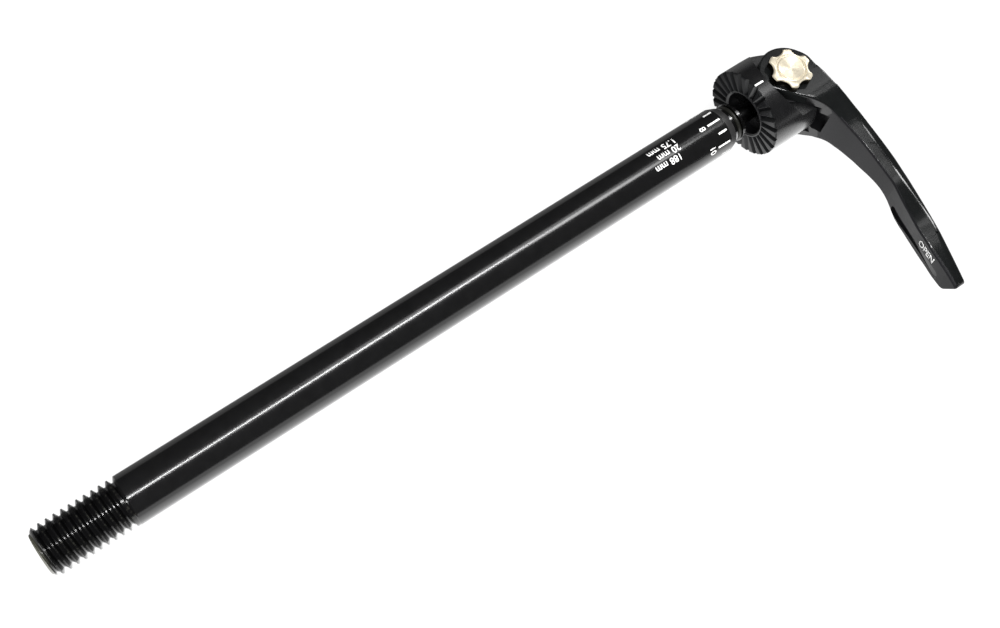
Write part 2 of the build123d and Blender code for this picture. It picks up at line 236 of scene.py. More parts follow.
def chamferFinish():
    look = {"dark": (0.022, 0.0215, 0.0215, 1), "pale": (0.036, 0.0355, 0.036, 1), "rough": 0.44}
    finish, place = newFinish("shaft_chamfer_satin")
    lines = place.noise(0.1 * mm, 2.0, (1, 0.02, 0.02))
    blotch = place.noise(0.8 * mm)
    return closeFinish(finish, place, {"Base Color": blotch.blend(look["dark"], look["pale"]), "IOR": 1.5,
                                       "Roughness": look["rough"] + 0.1 * (lines - 0.5),
                                       "Normal": lines.bump(0.006 * mm, 0.4)})


def threadFinish():
    look = {"dark": (0.0035, 0.0035, 0.0037, 1), "worn": (0.10, 0.10, 0.078, 1), "rough": 0.15}
    finish, place = newFinish("thread_anodised_black")
    blotch = place.noise(0.7 * mm)
    crest = fromAxis(place).ramp(5.72 * mm, 5.9 * mm) * blotch.ramp(0.5, 0.7)  # wear on the crests
    tip = place.along("X").ramp(-193.9 * mm, -195.05 * mm)
    worn = crest * 0.12 + tip * (0.6 + 0.5 * blotch)
    lines = place.noise(0.1 * mm, 2.0, (1, 0.04, 0.04))
    return closeFinish(finish, place, {"Base Color": worn.blend(look["dark"], look["worn"]),
                                       "Roughness": look["rough"] + 0.06 * blotch + 0.2 * tip, "IOR": 1.6,
                                       "Normal": lines.bump(0.003 * mm, 0.3)})


def headFinish():
    look = {"dark": (0.0045, 0.0045, 0.0048, 1), "pale": (0.009, 0.009, 0.0095, 1), "rough": 0.27}
    finish, place = newFinish("head_polished_black")
    blotch = place.noise(1.6 * mm)
    peel = place.noise(0.35 * mm, 2.0)
    return closeFinish(finish, place, {"Base Color": blotch.blend(look["dark"], look["pale"]),
                                       "Roughness": look["rough"] + 0.06 * (blotch - 0.5), "IOR": 1.6,
                                       "Normal": peel.bump(0.003 * mm, 0.2)})


def serrationFinish():
    look = {"dark": (0.004, 0.0042, 0.0045, 1), "pale": (0.010, 0.0103, 0.011, 1), "rough": 0.32}
    finish, place = newFinish("serration_matt_black")
    blotch = place.noise(0.5 * mm)
    top = place.along("X").ramp(0.4 * mm, 0.02 * mm)  # the teeth's tops are rubbed
    worn = top * 0.75 + blotch * 0.25
    return closeFinish(finish, place, {"Base Color": worn.blend(look["dark"], look["pale"]),
                                       "Roughness": look["rough"] + 0.12 * (blotch - 0.5), "IOR": 1.36,
                                       "Normal": blotch.bump(0.01 * mm, 0.3)})


def leverFinish(name, look):
    finish, place = newFinish(name)
    blotch = place.noise(look["blotch"] * mm)
    grain = place.noise(look["grain"] * mm, 2.0)
    return closeFinish(finish, place, {"Base Color": blotch.blend(look["dark"], look["pale"]),
                                       "Roughness": look["rough"] + look["spread"] * (blotch - 0.5),
                                       "IOR": look["ior"], "Normal": grain.bump(look["relief"] * mm, 0.3)})


def starFinish():
    look = {"pale": (0.86, 0.79, 0.64, 1), "deep": (0.70, 0.62, 0.46, 1), "rough": 0.32, "ringWidth": 0.16}
    finish, place = newFinish("star_champagne_turned")
    radius = fromPivot(place)
    rings = (radius * (2 * pi / (look["ringWidth"] * mm))).sine()  # marks of turning
    blotch = place.noise(0.8 * mm)
    tone = blotch * 0.7 + rings * 0.08 + 0.15
    return closeFinish(finish, place, {"Base Color": tone.blend(look["deep"], look["pale"]), "Metallic": 0.62,
                                       "Roughness": look["rough"] + 0.04 * rings + 0.08 * (blotch - 0.5),
                                       "Anisotropic": 0.85, "Anisotropic Rotation": 0.25,
                                       "Normal": rings.bump(0.004 * mm, 0.25)})


def metalFinish(name, look):
    finish, place = newFinish(name)
    blotch = place.noise(0.9 * mm)
    lines = place.noise(0.12 * mm, 2.0, look["stretch"])
    return closeFinish(finish, place, {"Base Color": blotch.blend(look["dark"], look["pale"]), "Metallic": 1.0,
                                       "Roughness": look["rough"] + 0.1 * (lines - 0.5),
                                       "Normal": lines.bump(0.004 * mm, 0.3)})


def plainFinish(name, look):  # sliding washers and sealing ring
    finish, place = newFinish(name)
    blotch = place.noise(0.6 * mm)
    grain = place.noise(0.12 * mm, 2.0)
    return closeFinish(finish, place, {"Base Color": blotch.blend(look["dark"], look["pale"]),
                                       "Roughness": look["rough"] + 0.15 * (grain - 0.5), "IOR": 1.5,
                                       "Normal": grain.bump(0.006 * mm, 0.4)})


def linerFinish():
    look = {"inside": (0.004, 0.004, 0.0045, 1), "lip": (0.022, 0.022, 0.023, 1), "rough": 0.36}
    finish, place = newFinish("liner_moulded_grey")
    grain = place.noise(0.2 * mm)
    lip = place.along("X").ramp(0.5 * mm, 0.36 * mm) * (0.7 + 0.6 * (grain - 0.5))  # painted shade: the liner is near black inside the bore, where shade falls, and grey only at the lip
    return closeFinish(finish, place, {"Base Color": lip.blend(look["inside"], look["lip"]), "IOR": 1.45,
                                       "Roughness": look["rough"] + 0.15 * (grain - 0.5),
                                       "Normal": grain.bump(0.006 * mm, 0.3)})


def printFinish():
    look = {"worn": (0.62, 0.62, 0.61, 1), "white": (0.9, 0.9, 0.89, 1), "rough": 0.5}
    finish, place = newFinish("print_white")
    rub = place.noise(0.35 * mm, 4.0).ramp(0.25, 0.45)
    return closeFinish(finish, place, {"Base Color": rub.blend(look["worn"], look["white"]),
                                       "Roughness": look["rough"] + 0.1 * rub, "IOR": 1.45})


shaftBlack = shaftFinish()
chamferSatin = chamferFinish()
threadBlack = threadFinish()
headBlack = headFinish()
serrationBlack = serrationFinish()
leverGloss = leverFinish("lever_polished_black", {
    "dark": (0.0045, 0.0049, 0.005, 1), "pale": (0.008, 0.0088, 0.0088, 1), "rough": 0.15, "spread": 0.04,
    "ior": 1.55, "blotch": 2.5, "grain": 0.3, "relief": 0.001})
leverSatin = leverFinish("lever_satin_black", {
    "dark": (0.0068, 0.0068, 0.0076, 1), "pale": (0.0098, 0.0098, 0.011, 1), "rough": 0.46, "spread": 0.1,
    "ior": 1.28, "blotch": 1.2, "grain": 0.12, "relief": 0.01})
# painted shade: a darker finish for the lever's gap, notch, web and pocket, where shade falls
hollowShadeBlack = leverFinish("hollow_painted_shade_black", {
    "dark": (0.0028, 0.0028, 0.003, 1), "pale": (0.006, 0.006, 0.0065, 1), "rough": 0.34, "spread": 0.12,
    "ior": 1.45, "blotch": 0.8, "grain": 0.2, "relief": 0.012})
starChampagne = starFinish()
# painted shade: a dark bronze finish for the star's flanks, standing for the shade that falls on them
starFlankShade = metalFinish("star_flank_painted_shade", {
    "dark": (0.10, 0.085, 0.06, 1), "pale": (0.17, 0.15, 0.11, 1), "rough": 0.3, "stretch": (0.1, 0.1, 1)})
plugBlack = metalFinish("plug_blackened_steel", {
    "dark": (0.16, 0.16, 0.162, 1), "pale": (0.24, 0.24, 0.242, 1), "rough": 0.15, "stretch": (1, 0.03, 0.03)})
rodSteel = metalFinish("rod_turned_steel", {
    "dark": (0.36, 0.36, 0.37, 1), "pale": (0.55, 0.55, 0.56, 1), "rough": 0.2, "stretch": (1, 0.03, 0.03)})
pinSteel = metalFinish("pin_turned_steel", {
    "dark": (0.33, 0.33, 0.34, 1), "pale": (0.5, 0.5, 0.51, 1), "rough": 0.28, "stretch": (0.1, 0.1, 1)})
springSteel = metalFinish("spring_oiled_steel", {
    "dark": (0.24, 0.24, 0.25, 1), "pale": (0.4, 0.4, 0.42, 1), "rough": 0.3, "stretch": (1, 0.2, 0.2)})
bushBrass = metalFinish("bush_bored_brass", {
    "dark": (0.45, 0.33, 0.14, 1), "pale": (0.66, 0.51, 0.25, 1), "rough": 0.3, "stretch": (0.1, 0.1, 1)})
linerGrey = linerFinish()
washerDark = plainFinish("cheek_washer_dark", {
    "dark": (0.012, 0.012, 0.013, 1), "pale": (0.022, 0.022, 0.024, 1), "rough": 0.45})
ringRubber = plainFinish("plug_ring_rubber", {
    "dark": (0.006, 0.006, 0.005, 1), "pale": (0.012, 0.012, 0.010, 1), "rough": 0.42})
printWhite = printFinish()
print("finishes made")

# shaft: a turned blank, bored from the head end, with the thread cut into its tip
shaftSizes = {
    "sides": 144,
    # place along the axle and radius, from the bore's end out to the head end and back along the outside
    "profile": [(-169, 3.0), (-28.18, 3.0), (-28.18, 4.1), (-7.15, 4.1), (-7.0, 4.2), (-7.0, 5.08), (-7.1, 5.24),
                (-9.05, 5.95), (-9.2, 5.985), (-9.4, 6.0), (-174.85, 6.0), (-174.95, 5.97), (-175.05, 5.9),
                (-193.75, 5.9), (-193.95, 5.76), (-194.85, 4.85), (-195, 4.65), (-195, 1.55), (-194.9, 1.4),
                (-193.0, 0.05)],
    "threadStart": -196.2, "pitch": 1.75, "turns": 12.2, "turnSteps": 72, "runOut": 0.36,
    "grooveTop": 6.1, "grooveRoot": 4.86, "topWidth": 1.66, "rootWidth": 0.3,
    "threadEnd": -174.9, "chamferStart": -9.15, "chamferInside": 4.6, "smoothAngle": 32}


def turnedBlank(name, profile, sides):
    startClean()
    lastX, lastR = profile[0]
    bpy.ops.mesh.primitive_circle_add(vertices=sides, radius=lastR * mm, fill_type="NGON",
                                      location=(lastX * mm, 0, 0), rotation=(0, pi / 2, 0))
    piece = bpy.context.object
    piece.name = name
    bpy.ops.object.transform_apply(location=True, rotation=True, scale=True)
    bpy.ops.object.mode_set(mode="EDIT")
    bpy.ops.mesh.select_mode(type="FACE")
    bpy.ops.mesh.select_all(action="SELECT")
    for x, r in profile[1:]:
        bpy.ops.mesh.extrude_region_move(TRANSFORM_OT_translate={"value": ((x - lastX) * mm, 0, 0)})
        bpy.ops.transform.resize(value=(1, r / lastR, r / lastR), center_override=(x * mm, 0, 0))
        lastX, lastR = x, r
    bpy.ops.mesh.select_all(action="SELECT")
    bpy.ops.mesh.normals_make_consistent(inside=False)
    bpy.ops.object.mode_set(mode="OBJECT")
    return piece


def threadCutter(sizes):  # a helical bar with the section of the thread's groove
    startClean()
    height = sizes["grooveTop"] - sizes["grooveRoot"]
    middle = (sizes["grooveTop"] + sizes["grooveRoot"]) / 2
    bpy.ops.mesh.primitive_plane_add(size=1, location=(sizes["threadStart"] * mm, 0, middle * mm),
                                     rotation=(pi / 2, 0, 0))
    cutter = bpy.context.object
    cutter.scale = (sizes["topWidth"] * mm, height * mm, 1)
    bpy.ops.object.transform_apply(location=True, rotation=True, scale=True)
    workOn(cutter, edit=True)
    pick(cutter, "VERT", lambda v: v.co.z < middle * mm)
    narrow = sizes["rootWidth"] / sizes["topWidth"]
    bpy.ops.transform.resize(value=(narrow, 1, 1), center_override=(sizes["threadStart"] * mm, 0, 0))
    bpy.ops.mesh.select_all(action="SELECT")
    bpy.ops.mesh.delete(type="ONLY_FACE")
    steps = int(sizes["turnSteps"] * sizes["turns"])
    applyModifier(cutter, "SCREW", {
        "axis": "X", "angle": 2 * pi * sizes["turns"], "screw_offset": sizes["pitch"] * sizes["turns"] * mm,
        "iterations": 1, "steps": steps, "render_steps": steps})
    lastStep = len(cutter.data.vertices) // 4 - 1
    runSteps = int(sizes["runOut"] * sizes["turnSteps"])
    for vertex in cutter.data.vertices:  # the groove gets shallower towards the shank
        lift = max(0, vertex.index // 4 - (lastStep - runSteps)) / runSteps
        radius = hypot(vertex.co.y, vertex.co.z)
        wide = (radius + lift * height * mm) / radius
        vertex.co.y *= wide
        vertex.co.z *= wide
    workOn(cutter, edit=True)
    bpy.ops.mesh.select_all(action="DESELECT")
    bpy.ops.mesh.select_mode(type="EDGE")
    bpy.ops.mesh.select_non_manifold()
    bpy.ops.mesh.fill_holes(sides=0)
    bpy.ops.mesh.select_all(action="SELECT")
    bpy.ops.mesh.normals_make_consistent(inside=False)
    bpy.ops.object.mode_set(mode="OBJECT")
    return cutter


shaft = turnedBlank("black_shaft", shaftSizes["profile"], shaftSizes["sides"])
cutter = threadCutter(shaftSizes)
applyModifier(shaft, "BOOLEAN", {"operation": "DIFFERENCE", "object": cutter, "solver": "EXACT"})
bpy.data.objects.remove(cutter)
give(shaft, shaftBlack, threadBlack, chamferSatin)
for face in shaft.data.polygons:
    if face.center.x < shaftSizes["threadEnd"] * mm:
        face.material_index = 1
    elif face.center.x > shaftSizes["chamferStart"] * mm and face.center.yz.length > shaftSizes["chamferInside"] * mm:
        face.material_index = 2
    else:
        face.material_index = 0
smooth(shaft, shaftSizes["smoothAngle"])
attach(shaft, "shaft")
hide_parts("axle_shaft")
print("shaft turned and threaded:", len(shaft.data.polygons), "faces")

# head: the solid's own form with its edges broken
headSizes = {"radius": 11.6, "rimBevel": 0.4, "edge": 0.12, "edgeAngle": 38, "smoothAngle": 24,
             "serrationDepth": 0.95, "serrationTilt": 0.15}

head = copyOfNode("head_housing", "serrated_head")
smooth(head, headSizes["smoothAngle"])
workOn(head, edit=True)


def onRim(vertex):
    return abs(vertex.co.x) < 0.01 * mm and abs(vertex.co.yz.length - headSizes["radius"] * mm) < 0.05 * mm


rimEdges = pick(head, "EDGE", lambda e: all(onRim(v) for v in e.verts))
bpy.ops.mesh.bevel(offset=headSizes["rimBevel"] * mm, segments=2, affect="EDGES", harden_normals=True)
applyModifier(head, "BEVEL", {"width": headSizes["edge"] * mm, "segments": 2, "limit_method": "ANGLE",
                              "angle_limit": radians(headSizes["edgeAngle"]), "harden_normals": True})
give(head, headBlack, serrationBlack)
for face in head.data.polygons:
    onFace = face.center.x < headSizes["serrationDepth"] * mm
    face.material_index = 1 if onFace and abs(face.normal.x) > headSizes["serrationTilt"] else 0
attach(head, "head")
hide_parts("head_housing")
print("head made:", len(head.data.polygons), "faces,", rimEdges, "rim edges")

# lever: the solid's form with the crowned outer side and its crease
leverSizes = {
    "crownAngle": 19.0, "creaseWidth": 0.7, "fineStations": 20,
    # place along the lever from the pivot, and the crease's distance from the pivot plane
    "crease": [(0, 6.2), (-4, 7.6), (-8, 8.5), (-12, 9.0), (-15.5, 9.0), (-20, 8.75), (-26, 8.4), (-32, 8.2),
               (-35.5, 7.75), (-38, 7.3), (-43.7, 5.8), (-49, 4.7), (-53.5, 3.7), (-58.4, 1.9), (-62.5, 0.5),
               (-65.5, -0.35), (-67.5, -0.9)],
    "halfHeight": [(-7, 8.64), (-15.5, 5.6), (-26, 3.95), (-35.5, 3.05), (-45, 4.4), (-54, 4.1), (-67, 3.0)],
    "fadeStart": 2.0, "fadeEnd": -10.0, "creaseStart": -9.0, "creaseEnd": -66.0,
    "gap": 5.66, "notch": 3.65, "notchEnd": -14.05, "webEnd": -12.4,
    # the hub grows less where it swings past the head, and more below the first of two angles
    "hubEnd": -2.0, "hubWall": 6.8, "hubGrow": 0.2, "hubMore": 0.3, "hubAngles": (30, 10), "hubFade": 4.0,
    "easeWidth": 2.0, "backSpread": (-1.5, -0.5, 0.5, 1.5),
    # place along the lever and the last small move of the back, of the lower inner edge and of the upper one
    "back": [(-2, 0.5), (-3, 0.8), (-5.5, 0.42), (-8, -0.2), (-10.5, -0.29), (-13, -0.07), (-15.5, 0.22),
             (-18, 0.35), (-26, 0.24), (-38, 0.31), (-43, 0.33), (-48, 0.13), (-53, -0.1), (-57.7, -0.1), (-63, 0)],
    "heel": [(-12.6, 0), (-13.5, -0.3), (-15.5, -0.58), (-18.8, -0.9), (-22, -0.69), (-25, -0.39), (-29, -0.3),
             (-35, -0.2), (-38.7, -0.28), (-41, -0.49), (-43, -0.5), (-45.2, -0.2), (-47.5, 0.17), (-50, 0.39),
             (-52.4, 0.49), (-57.5, 0.43), (-60, 0.2), (-67, 0)],
    "brow": [(-37, 0), (-43, -1.1), (-50, -1.9), (-57, -1.7), (-63, -1.6), (-67, -1.4)],
    "pocket": (-61.6, -39.8), "pocketMiddle": [(-40.5, -2.3), (-61, -1.7)], "pocketHalf": 1.3,
    "pocketDepth": (0.08, 1.2),
    # where the web painted dark for its shade and the satin inner face begin, and how far their faces turn to the
    # axle
    "shadedWeb": (-13.7, -8.0), "shadedTilt": -0.3, "satinStart": -11.0, "satinWide": -16.0, "satinTilts": (-0.6, -0.12)}


def creaseX(y):
    return pivot.x + between(y / mm, leverSizes["crease"]) * mm


def crownLever(lever):
    stations = [y * mm for y, x in leverSizes["crease"]]
    fine = [-step * mm for step in range(1, leverSizes["fineStations"])]
    for y in stations + fine:
        bpy.ops.mesh.select_all(action="SELECT")
        bpy.ops.mesh.bisect(plane_co=(0, y, 0), plane_no=(0, 1, 0), threshold=0.01 * mm)
    for highY, lowY in zip(stations, stations[1:]):
        pick(lever, "FACE", lambda f: lowY < f.calc_center_median().y < highY)
        along = Vector((creaseX(highY) - creaseX(lowY), highY - lowY, 0)).normalized()
        bpy.ops.mesh.bisect(plane_co=(creaseX(lowY), lowY, 0), plane_no=(along.y, -along.x, 0), threshold=0.01 * mm)
    slope = tan(radians(leverSizes["crownAngle"]))
    start, end = leverSizes["fadeStart"] * mm, leverSizes["fadeEnd"] * mm
    bpy.ops.object.mode_set(mode="OBJECT")
    for vertex in lever.data.vertices:
        x, y, z = vertex.co
        if y < start and (abs(z) > leverSizes["gap"] * mm or y < leverSizes["webEnd"] * mm):
            fade = min(1, (start - y) / (start - end))
            high = between(y / mm, leverSizes["halfHeight"]) * mm
            vertex.co.z = z * (1 - slope * fade * max(0, x - creaseX(y)) / high)
    workOn(lever, edit=True)
    low, high = leverSizes["creaseEnd"] * mm, leverSizes["creaseStart"] * mm

    def onCrease(vertex):
        return abs(vertex.co.x - creaseX(vertex.co.y)) < 0.01 * mm and low < vertex.co.y < high

    found = pick(lever, "EDGE", lambda e: all(onCrease(v) for v in e.verts) and len(e.link_faces) == 2)
    bpy.ops.mesh.bevel(offset=leverSizes["creaseWidth"] * mm / 2, segments=3, affect="EDGES")
    bpy.ops.mesh.region_to_loop()
    bpy.ops.mesh.mark_sharp()  # keeps the top flat up to the crease's rounding
    bpy.ops.object.mode_set(mode="OBJECT")
    return found


def easeLever(lever):  # brings the hub, back and inner edges to the real lever's lines
    for vertex in lever.data.vertices:
        x, y, z = vertex.co
        fromHub = (vertex.co - pivot).xy
        if y > leverSizes["hubEnd"] * mm:
            if abs(z) > leverSizes["gap"] * mm and fromHub.length > leverSizes["hubWall"] * mm:
                wide, narrow = leverSizes["hubAngles"]
                more = held((wide - degrees(atan2(y, x - pivot.x))) / (wide - narrow))
                grow = leverSizes["hubGrow"] + leverSizes["hubMore"] * more
                fromHub.length += grow * mm * held(1 + (x - pivot.x) / (leverSizes["hubFade"] * mm))
                vertex.co.xy = pivot.xy + fromHub
            continue
        behind = (x - creaseX(y)) / (leverSizes["easeWidth"] * mm)
        share = held(0.5 + 0.5 * z / (between(y / mm, leverSizes["halfHeight"]) * mm))
        inner = between(y / mm, leverSizes["brow"]) * share + between(y / mm, leverSizes["heel"]) * (1 - share)
        spread = leverSizes["backSpread"]
        back = sum(between(y / mm + step, leverSizes["back"]) for step in spread) / len(spread)
        move = back * held(1 + behind) + inner * held(-behind)
        vertex.co.x = min(x + move * mm, cadHigh.x)


def innerFaceX(y):
    hit, spot, normal, face = lever.ray_cast(Vector((-0.05, y, 0.5 * mm)), Vector((1, 0, 0)))
    return spot.x


def leverPart(face):  # 0 polished, 1 satin inner face, 2 hollows painted dark as shade
    x, y, z = face.center
    inGap = abs(z) < leverSizes["gap"] * mm and y > leverSizes["webEnd"] * mm
    inNotch = abs(z) < leverSizes["notch"] * mm and y > leverSizes["notchEnd"] * mm
    webLow, webHigh = leverSizes["shadedWeb"]
    nearWeb = webLow * mm < y < webHigh * mm and face.normal.x < leverSizes["shadedTilt"]
    # painted shade: the gap, notch, web and pocket take the darker finish
    if inNotch or inGap or nearWeb:
        return 2
    low, high = leverSizes["pocket"]
    level = between(y / mm, leverSizes["pocketMiddle"])
    if low * mm < y < high * mm and abs(z - level * mm) < leverSizes["pocketHalf"] * mm:
        shallow, deep = leverSizes["pocketDepth"]
        if shallow * mm < x - innerFaceX(y) < deep * mm:
            return 2
    narrowTilt, wideTilt = leverSizes["satinTilts"]
    tilt = wideTilt if y < leverSizes["satinWide"] * mm else narrowTilt
    return 1 if face.normal.x < tilt and y < leverSizes["satinStart"] * mm else 0


lever = copyOfNode("lever", "cam_lever")
creaseEdges = crownLever(lever)
easeLever(lever)
give(lever, leverGloss, leverSatin, hollowShadeBlack)
for face in lever.data.polygons:
    face.material_index = leverPart(face)
smooth(lever, 35, weighted=True)
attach(lever, "lever")
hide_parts("lever")
print("lever crowned:", len(lever.data.polygons), "faces,", creaseEdges, "crease edges")

# star nut: six lobes, a ring groove and a dished cap
starSizes = {
    "points": 180, "lobes": 6, "turn": 30, "reach": 5.62, "scallop": 2.6, "scallopPlace": 7.05, "rounding": 0.35,
    "seat": 8.94, "top": 11.09, "chamfer": 0.3, "bore": 1.9, "boreTop": 10.24, "edge": 0.05,
    # radius and height below the top, from the groove's outer edge to the middle of the cap
    "cap": [(3.95, 0), (3.85, 0.4), (3.35, 0.4), (3.25, 0.0), (3.05, 0.02), (2.2, 0.1), (1.2, 0.16), (0.3, 0.18)]}


def starReach(angle):  # the outline's distance from the pivot, corners rounded by a soft minimum
    sizes = starSizes
    step = 360 / sizes["lobes"]
    off = radians((degrees(angle) - sizes["turn"] + step / 2) % step - step / 2)
    inside = sizes["scallop"] ** 2 - (sizes["scallopPlace"] * sin(off)) ** 2
    if inside <= 0:
        return sizes["reach"]
    hollow = sizes["scallopPlace"] * cos(off) - sqrt(inside)
    mix = min(1, max(0, 0.5 + (hollow - sizes["reach"]) / (2 * sizes["rounding"])))
    return hollow + (sizes["reach"] - hollow) * mix - sizes["rounding"] * mix * (1 - mix)


def placeRing(piece, reach):  # sets the selected loop's distance from the pivot
    grid = bmesh.from_edit_mesh(piece.data)
    for vertex in grid.verts:
        if vertex.select:
            flat = (vertex.co - pivot).xy
            flat.length = reach(atan2(flat.y, flat.x)) * mm
            vertex.co.xy = pivot.xy + flat
    bmesh.update_edit_mesh(piece.data)


def starNut(sizes):
    startClean()
    bpy.ops.mesh.primitive_circle_add(vertices=sizes["points"], radius=sizes["reach"] * mm, fill_type="NGON",
                                      location=(pivot.x, 0, sizes["seat"] * mm))
    star = bpy.context.object
    star.name = "star_cap_nut"
    bpy.ops.object.transform_apply(location=True)
    workOn(star, edit=True)
    bpy.ops.mesh.select_mode(type="FACE")
    bpy.ops.mesh.select_all(action="SELECT")
    placeRing(star, starReach)
    wall = sizes["top"] - sizes["chamfer"] - sizes["seat"]
    bpy.ops.mesh.extrude_region_move(TRANSFORM_OT_translate={"value": (0, 0, wall * mm)})
    bpy.ops.mesh.extrude_region_move(TRANSFORM_OT_translate={"value": (0, 0, sizes["chamfer"] * mm)})
    placeRing(star, lambda angle: starReach(angle) - sizes["chamfer"])
    lastDrop = 0
    for radius, drop in sizes["cap"]:
        bpy.ops.mesh.extrude_region_move(TRANSFORM_OT_translate={"value": (0, 0, (lastDrop - drop) * mm)})
        placeRing(star, lambda angle: radius)
        lastDrop = drop
    pick(star, "FACE", lambda f: f.calc_center_median().z < (sizes["seat"] + 0.01) * mm)
    for height in (0, sizes["boreTop"] - sizes["seat"]):
        bpy.ops.mesh.extrude_region_move(TRANSFORM_OT_translate={"value": (0, 0, height * mm)})
        placeRing(star, lambda angle: sizes["bore"])
    bpy.ops.mesh.select_all(action="SELECT")
    bpy.ops.mesh.normals_make_consistent(inside=False)
    return star


star = starNut(starSizes)
applyModifier(star, "BEVEL", {"width": starSizes["edge"] * mm, "segments": 2, "limit_method": "ANGLE",
                              "angle_limit": radians(32)})
give(star, starChampagne, starFlankShade)
for face in star.data.polygons:  # painted shade: the flanks get a dark bronze finish that stands for the shade on them
    face.material_index = 1 if abs(face.normal.z) < 0.5 and face.center.z < (starSizes["top"] - 0.25) * mm else 0
smooth(star, 35, weighted=True)
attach(star, "lever")
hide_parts("star_nut")
print("star nut made:", len(star.data.polygons), "faces")

# finishes of the solids that keep their form
nodeFinishes = {
    "end_plug": plugBlack, "plug_ring": ringRubber, "draw_rod": rodSteel, "thrust_washer": bushBrass,
    "disc_spring_1": springSteel, "disc_spring_2": springSteel, "disc_spring_3": springSteel,
    "disc_spring_4": springSteel, "rod_nut": rodSteel, "bore_liner": linerGrey, "lower_cam_bush": bushBrass,
    "upper_cam_bush": bushBrass, "lower_cheek_washer": washerDark, "upper_cheek_washer": washerDark,
    "cam_pin": pinSteel, "nut_washer": pinSteel}
for node, finish in nodeFinishes.items():
    give(nodes[node], finish)
print("solids finished")

# white prints: the scale and sizes on the shaft, the index line on the head and the word on the lever
printSizes = {
    "shaftRadius": 6.0, "headRadius": 11.6, "lift": 0.012, "headLift": 0.003, "wordLift": 0.09, "skin": 0.012,
    "positions": 12, "firstAngle": 87 - 7 * 30, "longTick": (-13.6, -9.75), "shortTick": (-12.3, -9.78),
    "tickWidth": 0.5, "digitPlace": -15.35, "digitHeight": 1.75, "indexLine": (0.4, 3.1), "indexPlace": 0.78,
    "indexWidth": 0.52, "fat": 0.045, "wordFat": 0.06,
    "sizeLines": [("188 mm", -23.9, 112), ("20 mm", -23.0, 91), ("1.75 mm", -22.7, 70)], "sizeHeight": 1.75,
    "word": "OPEN", "wordStart": -52.0, "wordHeight": 1.7, "wordStretch": 1.8, "wordLevel": 1.55}


def flatBar(length, width):  # lies flat, long side along x, ready to be wrapped
    startClean()
    bpy.ops.mesh.primitive_plane_add(size=1)
    bar = bpy.context.object
    bar.scale = (length * mm, width * mm, 1)
    bpy.ops.object.transform_apply(location=False, rotation=False, scale=True)
    workOn(bar, edit=True)
    bpy.ops.mesh.select_all(action="SELECT")
    bpy.ops.mesh.bevel(offset=0.08 * mm, segments=2, affect="VERTICES")
    bpy.ops.mesh.select_all(action="SELECT")
    bpy.ops.mesh.subdivide(number_cuts=2)
    bpy.ops.object.mode_set(mode="OBJECT")
    return bar


def flatWord(text, height, align="CENTER", fat=printSizes["fat"]):
    startClean()
    bpy.ops.object.text_add()
    word = bpy.context.object
    word.data.body = text
    word.data.size = height * mm / 0.72  # capitals are 0.72 of the size
    word.data.offset = fat * mm
    word.data.align_x = align
    word.data.align_y = "CENTER"
    word.data.resolution_u = 4
    bpy.ops.object.convert(target="MESH")
    word = bpy.context.object
    workOn(word, edit=True)
    bpy.ops.mesh.select_all(action="SELECT")
    bpy.ops.mesh.remove_doubles(threshold=0.001 * mm)
    bpy.ops.mesh.subdivide(number_cuts=1)
    bpy.ops.object.mode_set(mode="OBJECT")
    return word


def wrap(piece, x, angle, radius, lengthways=False):  # round the axle, or read along it towards the thread
    for vertex in piece.data.vertices:
        around, along = (vertex.co.y, -vertex.co.x) if lengthways else (vertex.co.x, vertex.co.y)
        turn = radians(angle) + around / (radius * mm)
        lift = "headLift" if radius == printSizes["headRadius"] else "lift"
        reach = (radius + printSizes[lift]) * mm
        vertex.co = Vector((x * mm + along, reach * cos(turn), reach * sin(turn)))


def joinPrints(pieces, name, body):  # one thin skin of paint on its body
    startClean()
    for piece in pieces:
        piece.select_set(True)
    bpy.context.view_layer.objects.active = pieces[0]
    bpy.ops.object.join()
    whole = bpy.context.object
    whole.name = name
    workOn(whole, edit=True)
    bpy.ops.mesh.select_all(action="SELECT")
    bpy.ops.mesh.normals_make_consistent(inside=False)
    applyModifier(whole, "SOLIDIFY", {"thickness": printSizes["skin"] * mm, "offset": 0.0})
    give(whole, printWhite)
    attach(whole, body)


def scalePrint():
    pieces = []
    for number in range(1, printSizes["positions"] + 1):
        angle = printSizes["firstAngle"] + (number - 1) * 30
        low, high = printSizes["shortTick"] if number % 2 else printSizes["longTick"]
        tick = flatBar(high - low, printSizes["tickWidth"])
        wrap(tick, (low + high) / 2, angle, printSizes["shaftRadius"], lengthways=True)
        pieces.append(tick)
        if number % 2 == 0:
            digit = flatWord(str(number), printSizes["digitHeight"])
            wrap(digit, printSizes["digitPlace"], angle, printSizes["shaftRadius"])
            pieces.append(digit)
    joinPrints(pieces, "scale_print", "shaft")


def sizePrint():
    pieces = []
    for text, x, angle in printSizes["sizeLines"]:
        line = flatWord(text, printSizes["sizeHeight"], "LEFT")
        wrap(line, x, angle, printSizes["shaftRadius"], lengthways=True)
        pieces.append(line)
    joinPrints(pieces, "size_print", "shaft")


def indexPrint():
    low, high = printSizes["indexLine"]
    mark = flatBar(high - low, printSizes["indexWidth"])
    angle = 90 - degrees(printSizes["indexPlace"] / printSizes["headRadius"])
    wrap(mark, (low + high) / 2, angle, printSizes["headRadius"], lengthways=True)
    joinPrints([mark], "index_print", "head")


def leverPrint():
    word = flatWord(printSizes["word"], printSizes["wordHeight"], "LEFT", printSizes["wordFat"])
    for vertex in word.data.vertices:
        y = printSizes["wordStart"] * mm - vertex.co.x
        z = printSizes["wordLevel"] * mm + vertex.co.y * printSizes["wordStretch"]
        hit, spot, normal, face = lever.ray_cast(Vector((-0.05, y, z)), Vector((1, 0, 0)))
        vertex.co = Vector((spot.x - printSizes["wordLift"] * mm, y, z))
    joinPrints([word], "lever_word", "lever")


scalePrint()
sizePrint()
indexPrint()
leverPrint()
print("prints made")

